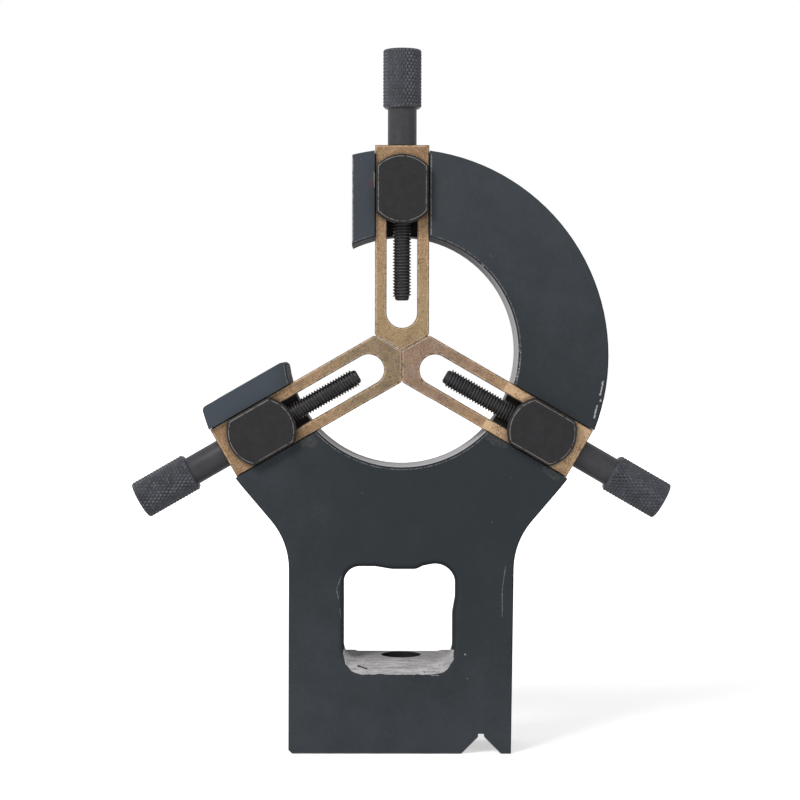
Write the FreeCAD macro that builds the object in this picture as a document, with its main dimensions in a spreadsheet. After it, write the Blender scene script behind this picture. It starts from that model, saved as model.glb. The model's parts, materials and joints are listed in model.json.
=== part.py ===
"""Three-finger steady rest for a small lathe, as a parametric document.

Millimetres. +Z is up, +Y is to the rear, and the origin is the axis of the bed clamp hole
on the plane of the lathe bed, halfway through the thickness of the cast frame. The work
axis runs along Y at the centre height. Each finger station is built pointing straight up
and then turned about the work axis.
"""
import FreeCAD, Part
import math
import os
import re

import Sketcher
from FreeCAD import Placement, Rotation, Vector

# Driving sizes, in millimetres and degrees. Each is written once, here.
SIZES = {
    # Cast frame: a ring on a pedestal, all of one thickness
    "centre_height": 130.0,
    "plate_thickness": 25.0,
    "ring_radius": 66.7,
    "ring_drop": 1.5,
    "bore_radius": 37.5,
    "bore_chamfer": 0.8,
    "flank_angle": 40.5,
    "flank_fillet": 24.0,
    "pedestal_width": 72.7,
    "side_draft": 0.9,
    "toe_chamfer": 1.2,
    "edge_break": 0.4,
    "gap_land": 7.3,
    "gap_corner_radius": 1.7,
    # Window over the foot, and the foot itself
    "foot_height": 30.2,
    "window_width": 36.0,
    "window_height": 30.1,
    "window_shift": -0.6,
    "window_sag": 0.9,
    "window_rise": 2.2,
    "window_bulge": 0.9,
    "window_left_radius": 5.2,
    "window_right_radius": 6.5,
    "window_lower_radius": 5.0,
    "window_wave_radius": 9.0,
    "window_step_radius": 3.5,
    "window_lip": 6.0,
    "window_flare": 1.4,
    "window_flare_radius": 5.0,
    "window_rim_radius": 2.0,
    "ledge_rim_radius": 5.0,
    "bed_hole_diameter": 13.0,
    "vee_width": 13.0,
    "vee_inset": 10.55,
    "vee_relief_width": 2.0,
    "vee_relief_depth": 6.5,
    # Fingers and the channels that guide them
    "channel_width": 17.8,
    "finger_play": 0.15,
    "finger_thickness": 10.0,
    "finger_recess": 1.5,
    "finger_setback": 0.2,
    "finger_tip_gap": 0.1,
    "finger_edge_chamfer": 0.4,
    "finger_shoulder_chamfer": 0.4,
    "slot_start": 7.4,
    "slot_tail": 3.1,
    # Clamp bolts, washers and nuts
    "bolt_shank_diameter": 9.7,
    "bolt_play": 0.15,
    "bolt_thread_diameter": 8.0,
    "bolt_shank_shortfall": 1.0,
    "bolt_thread_proud": 2.0,
    "head_diameter": 22.3,
    "head_flat_play": 0.5,
    "head_thickness": 5.0,
    "head_chamfer": 0.4,
    "washer_diameter": 16.0,
    "washer_thickness": 1.6,
    "washer_play": 0.2,
    "nut_across_flats": 13.0,
    "nut_thickness": 6.5,
    # Adjusting screws and the rings that hold them in the fingers
    "thread_play": 0.05,
    "screw_thread_diameter": 6.0,
    "screw_thread_length": 50.2,
    "journal_play": 0.1,
    "screw_shank_relief": 0.3,
    "screw_shank_length": 12.2,
    "knob_diameter": 12.5,
    "knob_length": 19.4,
    "knob_chamfer": 0.8,
    "retaining_ring_thickness": 0.9,
    "retaining_ring_play": 0.05,
    "retaining_ring_side_play": 0.5,
    "retaining_ring_opening": 3.0,
}

# Sizes that follow from the driving ones, as formulas in the same sheet
DERIVED = {
    "front_face": "-plate_thickness / 2",
    "rear_face": "plate_thickness / 2",
    "ring_centre": "centre_height - ring_drop",
    "tangent_x": "ring_radius * cos(flank_angle)",
    "tangent_z": "ring_centre - ring_radius * sin(flank_angle)",
    "waist_z": "tangent_z - (tangent_x - pedestal_width / 2) / tan(flank_angle)",
    "gap_offset": "channel_width / 2 + gap_land",
    "gap_reach": "2 * ring_radius",
    "window_left": "window_shift - window_width / 2",
    "window_right": "window_shift + window_width / 2",
    "window_top": "foot_height + window_height",
    "vee_centre": "pedestal_width / 2 - vee_inset",
    "vee_flank_top": "(vee_width - vee_relief_width) / 2",
    "channel_depth": "finger_recess + finger_thickness",
    "channel_floor": "front_face + channel_depth",
    "finger_face": "front_face + finger_recess",
    "finger_half_width": "channel_width / 2 - finger_play",
    "finger_length": "ring_radius - finger_setback",
    "finger_tip": "finger_tip_gap / 2 / sin(60)",
    "finger_shoulder": "finger_tip + finger_half_width / tan(60)",
    "clamp_radius": "(bore_radius + ring_radius) / 2",
    "bolt_hole_radius": "bolt_shank_diameter / 2 + bolt_play",
    "slot_half_width": "bolt_shank_diameter / 2 + bolt_play",
    "slot_end": "clamp_radius + bolt_shank_diameter / 2 + slot_tail",
    "head_front": "finger_face - head_thickness",
    "head_half_flats": "channel_width / 2 - head_flat_play",
    "bolt_shank_end": "rear_face - bolt_shank_shortfall",
    "washer_rear": "rear_face + washer_thickness",
    "nut_rear": "washer_rear + nut_thickness",
    "bolt_end": "nut_rear + bolt_thread_proud",
    "nut_corner_radius": "nut_across_flats / 2 / cos(30)",
    "screw_depth": "finger_face + finger_thickness / 2",
    "screw_thread_radius": "screw_thread_diameter / 2",
    "screw_tip": "finger_length - screw_thread_length",
    "screw_shank_radius": "finger_thickness / 2 - screw_shank_relief",
    "knob_start": "finger_length + screw_shank_length",
    "knob_end": "knob_start + knob_length",
    "retaining_ring_top": "slot_end - retaining_ring_play",
    "retaining_ring_bottom": "retaining_ring_top - retaining_ring_thickness",
    "retaining_ring_radius": "slot_half_width - retaining_ring_side_play",
}

# The finger stations, by the angle that each is turned from straight up, seen from the front
STATIONS = {"top": 0.0, "right": 120.0, "left": 240.0}

ALIAS = re.compile(r"\b(" + "|".join([*SIZES, *DERIVED]) + r")\b")

doc = FreeCAD.newDocument("steady_rest")
sheet = doc.addObject("Spreadsheet::Sheet", "sizes")


def fill_sheet():
    """Write the driving sizes as plain numbers and the derived ones as formulas."""
    row = 1
    for alias, number in SIZES.items():
        sheet.set(f"A{row}", alias)
        sheet.set(f"B{row}", str(number))
        sheet.setAlias(f"B{row}", alias)
        row += 1
    for alias, formula in DERIVED.items():
        sheet.set(f"A{row}", alias)
        sheet.set(f"B{row}", "=" + formula)
        sheet.setAlias(f"B{row}", alias)
        row += 1
    doc.recompute()


def value(formula):
    """What a formula in the sheet's aliases comes to."""
    return float(sheet.evalExpression(formula))


def tie(thing, name, formula):
    """Bind a property to a formula in the sheet's aliases."""
    thing.setExpression(name, ALIAS.sub(r"sizes.\g<0>", formula))


def new_body(name, angle=0.0, depth="0", height="0"):
    """A body named after its piece, turned about the Y axis and moved to its station."""
    body = doc.addObject("PartDesign::Body", name)
    body.Label = name
    body.Placement = Placement(Vector(), Rotation(Vector(0, 1, 0), angle))
    tie(body, "Placement.Base.y", depth)
    tie(body, "Placement.Base.z", height)
    return body


def new_sketch(body, name, plane, across="0", up="0", out="0"):
    """A sketch on one of its body's origin planes, with its own origin moved by three formulas."""
    sketch = body.newObject("Sketcher::SketchObject", name)
    support = next(item for item in body.Origin.OriginFeatures if item.Role == plane)
    sketch.AttachmentSupport = [(support, "")]
    sketch.MapMode = "FlatFace"
    for axis, formula in (("x", across), ("y", up), ("z", out)):
        tie(sketch, "AttachmentOffset.Base." + axis, formula)
    return sketch


def hold_point(sketch, geometry, point, across, up):
    """Hold a point of the sketch at two formulas, measured from the sketch's origin."""
    for kind, formula in (("DistanceX", across), ("DistanceY", up)):
        index = sketch.addConstraint(Sketcher.Constraint(kind, geometry, point, value(formula)))
        tie(sketch, f"Constraints[{index}]", formula)


def draw_polygon(sketch, corners):
    """A closed outline of straight lines through corners given as pairs of formulas."""
    points = [Vector(value(across), value(up), 0) for across, up in corners]
    first = sketch.GeometryCount
    for start, end in zip(points, points[1:] + points[:1]):
        sketch.addGeometry(Part.LineSegment(start, end), False)
    for number, (across, up) in enumerate(corners):
        following = (number + 1) % len(corners)
        sketch.addConstraint(
            Sketcher.Constraint("Coincident", first + number, 2, first + following, 1)
        )
        hold_point(sketch, first + number, 1, across, up)


def draw_rectangle(sketch, left, right, bottom, top):
    """An upright rectangle between four formulas."""
    draw_polygon(sketch, [(left, bottom), (right, bottom), (right, top), (left, top)])


def draw_circle(sketch, across, up, radius):
    """A circle whose centre and radius are formulas."""
    centre = Vector(value(across), value(up), 0)
    index = sketch.addGeometry(Part.Circle(centre, Vector(0, 0, 1), value(radius)), False)
    hold_point(sketch, index, 3, across, up)
    constraint = sketch.addConstraint(Sketcher.Constraint("Radius", index, value(radius)))
    tie(sketch, f"Constraints[{constraint}]", radius)


def pad(body, sketch, length, midplane=False):
    """Raise a sketch by a formula."""
    feature = body.newObject("PartDesign::Pad", sketch.Name + "_pad")
    feature.Profile = sketch
    feature.Midplane = midplane
    tie(feature, "Length", length)
    sketch.Visibility = False
    return feature


def pocket(body, sketch, length="", both_ways=False, forward=False):
    """Cut a sketch away by a formula, or right through where no length is given."""
    feature = body.newObject("PartDesign::Pocket", sketch.Name + "_cut")
    feature.Profile = sketch
    feature.Midplane = both_ways
    feature.Reversed = forward
    if length:
        tie(feature, "Length", length)
    else:
        feature.Type = "ThroughAll"
    return feature


def turn(body, sketch, axis, cut=False):
    """Turn a sketch's profile about one of its own axes, as a solid or as a cut."""
    kind = "PartDesign::Groove" if cut else "PartDesign::Revolution"
    feature = body.newObject(kind, sketch.Name + "_turned")
    feature.Profile = sketch
    feature.ReferenceAxis = (sketch, [axis])
    feature.Angle = 360.0
    return feature


def edges_at(feature, chosen):
    """The names of a feature's edges that a test on the edge picks out."""
    doc.recompute()
    return [f"Edge{n}" for n, edge in enumerate(feature.Shape.Edges, 1) if chosen(edge)]


def blend_edges(body, kind, chosen, size):
    """Fillet or chamfer the chosen edges of the body's newest feature by a formula."""
    base = body.Tip
    names = edges_at(base, chosen)
    feature = body.newObject("PartDesign::" + kind, f"{body.Name}_{kind.lower()}")
    feature.Base = (base, names)
    tie(feature, "Radius" if kind == "Fillet" else "Size", size)
    return feature


def runs_through(edge, across, up):
    """True of an edge along Y that passes through the two formulas in X and Z."""
    box = edge.BoundBox
    near = 1e-4
    return (
        box.YLength > near
        and box.XLength < near
        and box.ZLength < near
        and abs(box.XMin - value(across)) < near
        and abs(box.ZMin - value(up)) < near
    )


def lies_at_depth(edge, depth):
    """True of an edge that lies wholly in the plane at the formula's depth."""
    near = 1e-4
    box = edge.BoundBox
    return abs(box.YMin - value(depth)) < near and abs(box.YMax - value(depth)) < near


def build_casting():
    """The cast frame: ring, flanks, pedestal and foot, then everything machined into it."""
    body = new_body("casting_blank")

    ring = new_sketch(body, "ring_outline", "XZ_Plane")
    draw_circle(ring, "0", "ring_centre", "ring_radius")
    pad(body, ring, "plate_thickness", midplane=True)

    pedestal = new_sketch(body, "pedestal_outline", "XZ_Plane")
    draw_polygon(
        pedestal,
        [
            ("-pedestal_width / 2 + toe_chamfer", "0"),
            ("pedestal_width / 2 - side_draft", "0"),
            ("pedestal_width / 2", "waist_z"),
            ("tangent_x", "tangent_z"),
            ("-tangent_x", "tangent_z"),
            ("-pedestal_width / 2", "waist_z"),
            ("-pedestal_width / 2", "toe_chamfer"),
        ],
    )
    pad(body, pedestal, "plate_thickness", midplane=True)

    def at_waist(edge):
        return any(runs_through(edge, side + "pedestal_width / 2", "waist_z") for side in ("", "-"))

    blend_edges(body, "Fillet", at_waist, "flank_fillet")

    bore = new_sketch(body, "work_bore", "XZ_Plane")
    draw_circle(bore, "0", "centre_height", "bore_radius")
    pocket(body, bore, both_ways=True)

    mouth = new_sketch(body, "bore_mouth", "YZ_Plane", up="centre_height")
    for side in ("-", ""):
        draw_polygon(
            mouth,
            [
                (f"{side}(rear_face - bore_chamfer)", "bore_radius"),
                (f"{side}rear_face", "bore_radius + bore_chamfer"),
                (f"{side}rear_face", "bore_radius"),
            ],
        )
    turn(body, mouth, "H_Axis", cut=True)

    cut_loading_gap(body)
    break_edges(body)
    cut_stations(body)
    cut_window(body)
    flare_window(body)
    cut_foot(body)
    return body


def cut_loading_gap(body):
    """The open side of the ring, between faces that run parallel to the top and left fingers."""
    gap = new_sketch(body, "loading_gap", "XZ_Plane", up="centre_height")
    draw_polygon(
        gap,
        [
            ("-gap_offset", "gap_offset * tan(30)"),
            ("-gap_offset", "gap_reach"),
            ("-gap_offset - gap_reach * cos(30)", "gap_reach"),
            ("-gap_offset - gap_reach * cos(30)", "gap_offset * tan(30) - gap_reach * sin(30)"),
        ],
    )
    pocket(body, gap, both_ways=True)

    # How far along the lower face it meets the bore, and the ring, whose centre is a little lower
    runs = (
        "sqrt(bore_radius ^ 2 - gap_offset ^ 2)",
        "sqrt(ring_radius ^ 2 - (gap_offset + ring_drop * cos(30)) ^ 2) + ring_drop * sin(30)",
    )
    corners = [
        (
            f"-({run}) * cos(30) - gap_offset * sin(30)",
            f"centre_height - ({run}) * sin(30) + gap_offset * cos(30)",
        )
        for run in runs
    ]

    def at_lower_corner(edge):
        return any(runs_through(edge, across, up) for across, up in corners)

    blend_edges(body, "Fillet", at_lower_corner, "gap_corner_radius")


def break_edges(body):
    """The casting's outer edges, front and rear, all round but for the foot and the bore."""
    outermost = value("bore_radius + bore_chamfer") + 1e-4

    def on_outline(edge):
        if not (lies_at_depth(edge, "front_face") or lies_at_depth(edge, "rear_face")):
            return False
        middle = edge.valueAt((edge.FirstParameter + edge.LastParameter) / 2)
        from_bore = math.hypot(middle.x, middle.z - value("centre_height"))
        return from_bore > outermost and middle.z > value("toe_chamfer") / 4

    blend_edges(body, "Chamfer", on_outline, "edge_break")


def cut_stations(body):
    """A guide channel and a clamp bolt hole at the top, repeated round the bore."""
    front = "-front_face"
    channel = new_sketch(body, "channel", "XZ_Plane", up="centre_height", out=front)
    draw_rectangle(channel, "-channel_width / 2", "channel_width / 2", "0", "gap_reach")
    channel_cut = pocket(body, channel, "channel_depth")

    hole = new_sketch(body, "clamp_hole", "XZ_Plane", up="centre_height", out=front)
    draw_circle(hole, "0", "clamp_radius", "bolt_hole_radius")
    hole_cut = pocket(body, hole)

    around = body.newObject("PartDesign::PolarPattern", "stations")
    around.Originals = [channel_cut, hole_cut]
    around.Axis = (channel, ["N_Axis"])
    around.Angle = 360.0
    around.Occurrences = len(STATIONS)
    body.Tip = around


def cut_window(body):
    """The window that gives access to the bed clamp nut, with the wavy outline of a cored hole."""
    lower = [("window_left", "foot_height"), ("window_right - window_bulge", "foot_height")]
    # The right side leans out above its middle
    knees = [
        ("window_right - window_bulge", "foot_height + window_height / 2"),
        ("window_right", "foot_height + window_height * 2 / 3"),
    ]
    upper_right = ("window_right", "window_top + window_rise")
    # From right to left, the top edge falls to a step, sags, and comes level again
    step = [
        ("window_shift + window_width * 0.21", "window_top + window_rise * 0.1"),
        ("window_shift + window_width * 0.15", "window_top - window_sag"),
    ]
    sag = [
        ("window_shift - window_width * 0.07", "window_top - window_sag"),
        ("window_shift - window_width * 0.22", "window_top"),
    ]
    upper_left = ("window_left", "window_top")
    window = new_sketch(body, "window", "XZ_Plane")
    draw_polygon(window, [*lower, *knees, upper_right, *step, *sag, upper_left])
    pocket(body, window, both_ways=True)
    for places, radius in (
        ([upper_left], "window_left_radius"),
        ([upper_right], "window_right_radius"),
        (lower, "window_lower_radius"),
        (knees + sag, "window_wave_radius"),
        (step, "window_step_radius"),
    ):

        def at_corner(edge, places=places):
            return any(runs_through(edge, across, up) for across, up in places)

        blend_edges(body, "Fillet", at_corner, radius)


def flare_window(body):
    """Behind its front lip the window widens to the rear, and the ledge there has square ends."""
    flare = new_sketch(body, "window_flare_outline", "XZ_Plane", out="-rear_face")
    sides = ("window_left - window_flare", "window_right + window_flare")
    draw_rectangle(flare, *sides, "foot_height", "window_top + window_rise")
    cut = pocket(body, flare, "plate_thickness - window_lip", forward=True)
    tie(cut, "TaperAngle", "-atan(window_flare / (plate_thickness - window_lip))")

    def at_upper_corner(edge):
        corners = [
            Vector(value(side), value("rear_face"), value("window_top + window_rise"))
            for side in sides
        ]
        ends = [vertex.Point for vertex in edge.Vertexes]
        return edge.BoundBox.YLength > 1e-4 and any(
            end.distanceToPoint(corner) < 1e-4 for end in ends for corner in corners
        )

    def at_ledge(edge):
        box = edge.BoundBox
        level = abs(box.ZMin - value("foot_height")) < 1e-4 and box.ZLength < 1e-4
        return level and lies_at_depth(edge, "rear_face")

    blend_edges(body, "Fillet", at_upper_corner, "window_flare_radius")
    blend_edges(body, "Fillet", at_ledge, "ledge_rim_radius")


def cut_foot(body):
    """The clamp hole through the foot and the vee that fits over the bed's front way."""
    hole = new_sketch(body, "bed_hole", "XY_Plane")
    draw_circle(hole, "0", "0", "bed_hole_diameter / 2")
    pocket(body, hole, "foot_height", forward=True)

    vee = new_sketch(body, "bed_vee", "XZ_Plane", across="vee_centre")
    draw_polygon(
        vee,
        [
            ("-vee_width / 2", "0"),
            ("vee_width / 2", "0"),
            ("vee_relief_width / 2", "vee_flank_top"),
            ("vee_relief_width / 2", "vee_relief_depth"),
            ("-vee_relief_width / 2", "vee_relief_depth"),
            ("-vee_relief_width / 2", "vee_flank_top"),
        ],
    )
    pocket(body, vee, both_ways=True)


def edges_round_window(blank):
    """The numbered edges of the window's front rim, each with its ends in order.

    A fillet runs round the rim as the first of its edges does, so every edge's ends are put
    in that order.
    """
    near = 1e-4
    centre = Vector(value("window_shift"), 0, value("foot_height + window_height / 2"))
    found = []
    for number, edge in enumerate(blank.Shape.Edges, 1):
        box = edge.BoundBox
        inside = (
            box.XMin > value("window_left") - near
            and box.XMax < value("window_right") + near
            and box.ZMin > value("foot_height") - near
            and box.ZMax < value("window_top + window_rise") + near
        )
        if not inside or not lies_at_depth(edge, "front_face"):
            continue
        ends = [edge.valueAt(edge.FirstParameter), edge.valueAt(edge.LastParameter)]
        clockwise = (ends[0] - centre).cross(ends[1] - centre).y > 0
        if not found:
            along = clockwise
        found.append((number, ends if clockwise == along else ends[::-1]))
    return found


def round_window_rim(blank):
    """The finished casting: the window's front rim rounded, more along the ledge."""
    doc.recompute()
    finished = doc.addObject("Part::Fillet", "body_casting")
    finished.Label = "body_casting"
    finished.Base = blank
    ledge = value("foot_height") + 1e-4
    finished.Edges = [
        (
            number,
            *(value("ledge_rim_radius" if end.z < ledge else "window_rim_radius") for end in ends),
        )
        for number, ends in edges_round_window(blank)
    ]
    return finished


def build_finger(station, angle):
    """A slotted bar with a pointed tip, guided by its channel."""
    body = new_body(station + "_finger", angle, height="centre_height")
    bar = new_sketch(body, station + "_bar", "XZ_Plane", out="-channel_floor")
    draw_polygon(
        bar,
        [
            ("0", "finger_tip"),
            ("finger_half_width", "finger_shoulder"),
            ("finger_half_width", "finger_length"),
            ("-finger_half_width", "finger_length"),
            ("-finger_half_width", "finger_shoulder"),
        ],
    )
    pad(body, bar, "finger_thickness")

    def at_shoulder(edge):
        sides = ("finger_half_width", "-finger_half_width")
        return any(runs_through(edge, side, "finger_shoulder") for side in sides)

    blend_edges(body, "Chamfer", at_shoulder, "finger_shoulder_chamfer")

    slot = new_sketch(body, station + "_slot", "XZ_Plane")
    draw_rectangle(
        slot, "-slot_half_width", "slot_half_width", "slot_start + slot_half_width", "slot_end"
    )
    pocket(body, slot, both_ways=True)
    slot_round = new_sketch(body, station + "_slot_round", "XZ_Plane")
    draw_circle(slot_round, "0", "slot_start + slot_half_width", "slot_half_width")
    pocket(body, slot_round, both_ways=True)

    journal = new_sketch(body, station + "_journal", "XY_Plane", up="screw_depth", out="slot_end")
    draw_circle(journal, "0", "0", "screw_thread_radius + journal_play")
    pocket(body, journal, "finger_length - slot_end", forward=True)

    def on_front(edge):
        return lies_at_depth(edge, "finger_face")

    blend_edges(body, "Chamfer", on_front, "finger_edge_chamfer")
    return body


def build_adjusting_screw(station, angle):
    """Knob, plain shank that bears on the finger, and the thread that runs in the clamp bolt."""
    body = new_body(station + "_adjusting_screw", angle, "screw_depth", "centre_height")
    profile = new_sketch(body, station + "_screw_profile", "XZ_Plane")
    draw_polygon(
        profile,
        [
            ("0", "screw_tip"),
            ("screw_thread_radius", "screw_tip"),
            ("screw_thread_radius", "finger_length"),
            ("screw_shank_radius", "finger_length"),
            ("screw_shank_radius", "knob_start"),
            ("knob_diameter / 2 - knob_chamfer", "knob_start"),
            ("knob_diameter / 2", "knob_start + knob_chamfer"),
            ("knob_diameter / 2", "knob_end - knob_chamfer"),
            ("knob_diameter / 2 - knob_chamfer", "knob_end"),
            ("0", "knob_end"),
        ],
    )
    turn(body, profile, "V_Axis")
    return body


def build_retaining_ring(station, angle):
    """The open spring ring, pushed on to the screw, that keeps it from drawing out of the finger."""
    body = new_body(station + "_retaining_ring", angle, "screw_depth", "centre_height")
    outline = new_sketch(body, station + "_ring_face", "XY_Plane", out="retaining_ring_bottom")
    draw_circle(outline, "0", "0", "retaining_ring_radius")
    draw_circle(outline, "0", "0", "screw_thread_radius")
    pad(body, outline, "retaining_ring_thickness")
    opening = new_sketch(body, station + "_ring_gap", "XY_Plane", out="retaining_ring_bottom")
    draw_rectangle(
        opening,
        "-retaining_ring_opening / 2",
        "retaining_ring_opening / 2",
        "-retaining_ring_radius",
        "0",
    )
    pocket(body, opening, "retaining_ring_thickness", forward=True)
    return body


def build_clamp_bolt(station, angle):
    """Round head with two flats that the channel keeps from turning, and a cross hole."""
    body = new_body(station + "_clamp_bolt", angle, height="centre_height")
    profile = new_sketch(body, station + "_bolt_profile", "YZ_Plane", up="clamp_radius")
    draw_polygon(
        profile,
        [
            ("head_front", "0"),
            ("head_front", "head_diameter / 2 - head_chamfer"),
            ("head_front + head_chamfer", "head_diameter / 2"),
            ("finger_face", "head_diameter / 2"),
            ("finger_face", "bolt_shank_diameter / 2"),
            ("bolt_shank_end", "bolt_shank_diameter / 2"),
            ("bolt_shank_end", "bolt_thread_diameter / 2"),
            ("bolt_end", "bolt_thread_diameter / 2"),
            ("bolt_end", "0"),
        ],
    )
    turn(body, profile, "H_Axis")

    flats = new_sketch(
        body, station + "_head_flats", "XZ_Plane", up="clamp_radius", out="-head_front"
    )
    for side in ("-", ""):
        draw_rectangle(
            flats,
            side + "head_half_flats",
            side + "head_diameter",
            "-head_diameter",
            "head_diameter",
        )
    pocket(body, flats, "head_thickness")

    cross = new_sketch(body, station + "_cross_hole", "XY_Plane", up="screw_depth")
    draw_circle(cross, "0", "0", "screw_thread_radius + thread_play")
    pocket(body, cross, forward=True)
    return body


def build_clamp_washer(station, angle):
    """A plain washer on the rear face of the casting."""
    body = new_body(station + "_clamp_washer", angle, height="centre_height")
    face = new_sketch(
        body, station + "_washer_face", "XZ_Plane", up="clamp_radius", out="-washer_rear"
    )
    draw_circle(face, "0", "0", "washer_diameter / 2")
    draw_circle(face, "0", "0", "bolt_thread_diameter / 2 + washer_play")
    pad(body, face, "washer_thickness")
    return body


def build_clamp_nut(station, angle):
    """A hexagon nut on its washer."""
    body = new_body(station + "_clamp_nut", angle, height="centre_height")
    face = new_sketch(
        body, station + "_nut_face", "XZ_Plane", up="clamp_radius", out="-nut_rear"
    )
    corner_angles = range(0, 360, 60)
    draw_polygon(
        face,
        [
            (f"nut_corner_radius * cos({turned})", f"nut_corner_radius * sin({turned})")
            for turned in corner_angles
        ],
    )
    draw_circle(face, "0", "0", "bolt_thread_diameter / 2 + thread_play")
    pad(body, face, "nut_thickness")
    return body


def check_document():
    """Stop if any object failed, or if any cut removed nothing."""
    doc.recompute()
    for item in doc.Objects:
        if "Invalid" in item.State or "Error" in item.State:
            raise RuntimeError(f"{item.Label} did not build: {item.State}")
    for item in doc.Objects:
        if item.TypeId in ("PartDesign::Pocket", "PartDesign::Groove"):
            if item.Shape.Volume > item.BaseFeature.Shape.Volume - 0.01:
                raise RuntimeError(f"{item.Label} cuts nothing")


def export(pieces):
    """Write each piece's solid to its own file, once all of them are sound."""
    for piece in pieces:
        if piece.Shape.isNull() or not piece.Shape.isValid():
            raise RuntimeError(f"{piece.Label} is not a sound solid")
    os.makedirs("parts", exist_ok=True)
    for piece in pieces:
        piece.Shape.exportStep(f"parts/{piece.Label}.step")
        print(piece.Label, round(piece.Shape.Volume, 1), "mm3")


fill_sheet()
pieces = [round_window_rim(build_casting())]
for station, angle in STATIONS.items():
    pieces.append(build_finger(station, angle))
    pieces.append(build_adjusting_screw(station, angle))
    pieces.append(build_retaining_ring(station, angle))
    pieces.append(build_clamp_bolt(station, angle))
    pieces.append(build_clamp_washer(station, angle))
    pieces.append(build_clamp_nut(station, angle))
check_document()
export(pieces)
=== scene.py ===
"""The looks of a three-finger lathe steady rest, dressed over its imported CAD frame.

Metres, in the frame's own axes: +X to the right, +Y to the rear along the work axis, +Z up
from the lathe bed. The casting, fingers, washers and spring rings keep their CAD meshes and
get materials. The screws, clamp bolts and nuts are built here with their threads and
knurling: each once, at the station that points straight up, and then turned about the work
axis to the others.
"""
import json
import math

import bmesh
import bpy
from mathutils import Matrix, Vector


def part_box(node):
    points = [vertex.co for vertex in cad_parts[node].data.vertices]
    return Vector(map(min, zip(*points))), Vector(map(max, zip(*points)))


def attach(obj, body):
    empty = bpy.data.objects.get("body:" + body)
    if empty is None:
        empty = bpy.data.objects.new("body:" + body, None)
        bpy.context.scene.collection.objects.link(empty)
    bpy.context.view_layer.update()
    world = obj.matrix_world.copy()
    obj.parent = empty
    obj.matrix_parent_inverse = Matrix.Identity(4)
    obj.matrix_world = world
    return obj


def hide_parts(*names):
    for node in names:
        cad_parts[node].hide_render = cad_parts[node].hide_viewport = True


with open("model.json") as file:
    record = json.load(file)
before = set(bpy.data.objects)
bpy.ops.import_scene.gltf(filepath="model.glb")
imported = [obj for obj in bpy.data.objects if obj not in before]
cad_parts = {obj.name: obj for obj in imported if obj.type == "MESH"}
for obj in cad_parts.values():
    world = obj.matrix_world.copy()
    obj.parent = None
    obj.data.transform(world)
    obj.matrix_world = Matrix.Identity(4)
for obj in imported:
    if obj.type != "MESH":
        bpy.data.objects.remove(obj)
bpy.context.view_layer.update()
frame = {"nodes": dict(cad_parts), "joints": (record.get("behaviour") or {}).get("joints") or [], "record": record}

MM = 0.001

# ---------------------------------------------------------------------------
# Places and sizes, from the frame
# ---------------------------------------------------------------------------

record = frame["record"]
WORK_HEIGHT = next(m["pos_m"][2] for m in record["mounts"] if m["name"] == "work_axis")
STATIONS = {
    joint["name"].removesuffix("_finger_slide"): math.atan2(joint["axis"][0], joint["axis"][2])
    for joint in frame["joints"]
    if joint["name"].endswith("_finger_slide")
}
SCREW_PITCH = 2 * math.pi / next(
    c["ratio"] for c in record["behaviour"]["couplings"] if c["joint"] == "top_screw_turn"
)
BOLT_PITCH = 2 * math.pi * next(
    c["ratio"] for c in record["behaviour"]["couplings"] if c["joint"] == "top_washer_slide"
)

CASTING_LOW, CASTING_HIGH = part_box("body_casting")
FRONT, REAR = CASTING_LOW.y, CASTING_HIGH.y
FINGER_LOW, FINGER_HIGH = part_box("top_finger")
SCREW_LOW, SCREW_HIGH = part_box("top_adjusting_screw")
BOLT_LOW, BOLT_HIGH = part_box("top_clamp_bolt")
WASHER_LOW, WASHER_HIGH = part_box("top_clamp_washer")
NUT_LOW, NUT_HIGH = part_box("top_clamp_nut")

BORE_RADIUS = 37.5 * MM
BORE_CHAMFER = 0.8 * MM
CHANNEL_HALF = 8.9 * MM
GAP_OFFSET = 16.2 * MM
RING_CENTRE = WORK_HEIGHT - 1.5 * MM
FOOT_HEIGHT = 30.2 * MM
BED_HOLE_RADIUS = 6.5 * MM
VEE_CENTRE = 25.8 * MM
VEE_HALF = 6.5 * MM

KNOB_RADIUS = (SCREW_HIGH.x - SCREW_LOW.x) / 2
KNOB_END = SCREW_HIGH.z
KNOB_START = KNOB_END - 19.4 * MM
SCREW_DEPTH = (SCREW_HIGH.y + SCREW_LOW.y) / 2
SCREW_SHANK_RADIUS = 4.7 * MM
SCREW_THREAD_RADIUS = 3.0 * MM
BOLT_SHANK_RADIUS = 4.85 * MM
BOLT_SHANK_END = REAR - 1.0 * MM
SLOT_HALF = 5.0 * MM
SLOT_START = 7.4 * MM
SLOT_END = 60.05 * MM
BOLT_THREAD_RADIUS = 4.0 * MM
HEAD_RADIUS = (BOLT_HIGH.z - BOLT_LOW.z) / 2
CLAMP_HEIGHT = (BOLT_HIGH.z + BOLT_LOW.z) / 2
THREAD_PLAY = 0.05 * MM


# ---------------------------------------------------------------------------
# Mesh building
# ---------------------------------------------------------------------------

def bridge(mesh, lower, upper):
    """Faces between two closed rings of the same number of vertices."""
    count = len(lower)
    return [
        mesh.faces.new((lower[i], lower[(i + 1) % count], upper[(i + 1) % count], upper[i]))
        for i in range(count)
    ]


def fan(mesh, ring, centre, flip=False):
    """Closes a ring with triangles that meet at a point."""
    middle = mesh.verts.new(centre)
    count = len(ring)
    for i in range(count):
        corners = (ring[i], ring[(i + 1) % count], middle)
        mesh.faces.new(corners[::-1] if flip else corners)


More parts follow.
